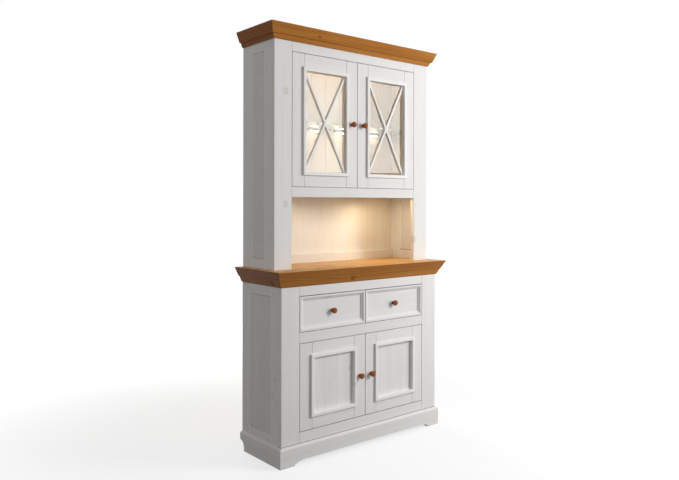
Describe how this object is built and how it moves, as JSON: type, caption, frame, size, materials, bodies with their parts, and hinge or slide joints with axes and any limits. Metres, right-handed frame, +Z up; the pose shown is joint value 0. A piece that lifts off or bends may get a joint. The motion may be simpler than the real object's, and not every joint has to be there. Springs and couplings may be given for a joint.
{
  "type": "buffet cabinet",
  "caption": "Two-part buffet cabinet in pale pine: drawers and panelled doors below a worktop, an open niche, and glazed doors with crossed bars under a moulded cornice.",
  "frame": {"origin": "on the floor, at the centre of the footprint, which is the worktop's outline", "axes": "+X to the right seen from the front, +Y to the back, +Z up; the fronts face -Y"},
  "size_m": [1.114, 0.382, 2.05],
  "materials": {
    "pine_white": "white-washed brushed pine, grain and knots showing through",
    "pine_honey": "honey-coloured waxed pine with fine knots",
    "pine_natural": "plain unstained pine of the drawer boxes and their guides",
    "knob_honey": "turned pine, waxed, a little glossier and redder than the boards",
    "door_glass": "clear float glass",
    "shelf_glass": "clear glass with a green tint at the edges",
    "light_housing": "pale housings with warm light",
    "hinge_steel": "nickel-plated steel"
  },
  "bodies": {
    "cabinet": {"plinth_front": "pine_white", "plinth_sides": "pine_white", "base_side_left": "pine_white", "base_side_right": "pine_white", "base_front_stiles": "pine_white", "base_front_rails": "pine_white", "base_floor": "pine_white", "drawer_deck": "pine_white", "base_shelf": "pine_white", "base_back": "pine_white", "hutch_side_left": "pine_white", "hutch_side_right": "pine_white", "hutch_front_stiles": "pine_white", "hutch_front_rails": "pine_white", "hutch_floor": "pine_white", "hutch_top": "pine_white", "hutch_back": "pine_white", "worktop": "pine_honey", "worktop_moulding": "pine_honey", "cornice": "pine_honey", "drawer_guides": "pine_natural", "hutch_shelf": "shelf_glass", "shelf_lights": "light_housing", "niche_lights": "light_housing", "shelf_pins": "hinge_steel", "hinge_arms": "hinge_steel"},
    "base_door_left": {"base_door_left_stiles": "pine_white", "base_door_left_rails": "pine_white", "base_door_left_moulding": "pine_white", "base_door_left_knob": "knob_honey", "base_door_left_hinge_cups": "hinge_steel", "base_door_left_panel": "pine_white"},
    "hutch_door_left": {"hutch_door_left_stiles": "pine_white", "hutch_door_left_rails": "pine_white", "hutch_door_left_moulding": "pine_white", "hutch_door_left_knob": "knob_honey", "hutch_door_left_hinge_cups": "hinge_steel", "hutch_door_left_glass": "door_glass", "hutch_door_left_bars": "pine_white"},
    "drawer_left": {"drawer_left_front": "pine_white", "drawer_left_box": "pine_natural", "drawer_left_bottom": "pine_natural", "drawer_left_knob": "knob_honey"},
    "base_door_right": {"base_door_right_stiles": "pine_white", "base_door_right_rails": "pine_white", "base_door_right_moulding": "pine_white", "base_door_right_knob": "knob_honey", "base_door_right_hinge_cups": "hinge_steel", "base_door_right_panel": "pine_white"},
    "hutch_door_right": {"hutch_door_right_stiles": "pine_white", "hutch_door_right_rails": "pine_white", "hutch_door_right_moulding": "pine_white", "hutch_door_right_knob": "knob_honey", "hutch_door_right_hinge_cups": "hinge_steel", "hutch_door_right_glass": "door_glass", "hutch_door_right_bars": "pine_white"},
    "drawer_right": {"drawer_right_front": "pine_white", "drawer_right_box": "pine_natural", "drawer_right_bottom": "pine_natural", "drawer_right_knob": "knob_honey"}
  },
  "joints": [
    {"name": "base_door_left_hinge", "type": "hinge", "parent": "cabinet", "child": "base_door_left", "pos_m": [-0.409, -0.149, 0.352], "axis": [0, 0, -1], "range_deg": [0, 110]},
    {"name": "base_door_right_hinge", "type": "hinge", "parent": "cabinet", "child": "base_door_right", "pos_m": [0.409, -0.149, 0.352], "axis": [0, 0, 1], "range_deg": [0, 110]},
    {"name": "hutch_door_left_hinge", "type": "hinge", "parent": "cabinet", "child": "hutch_door_left", "pos_m": [-0.409, -0.085, 1.613], "axis": [0, 0, -1], "range_deg": [0, 110]},
    {"name": "hutch_door_right_hinge", "type": "hinge", "parent": "cabinet", "child": "hutch_door_right", "pos_m": [0.409, -0.085, 1.613], "axis": [0, 0, 1], "range_deg": [0, 110]},
    {"name": "drawer_left_slide", "type": "slide", "parent": "cabinet", "child": "drawer_left", "axis": [0, -1, 0], "range_m": [0, 0.2]},
    {"name": "drawer_right_slide", "type": "slide", "parent": "cabinet", "child": "drawer_right", "axis": [0, -1, 0], "range_m": [0, 0.2]}
  ]
}
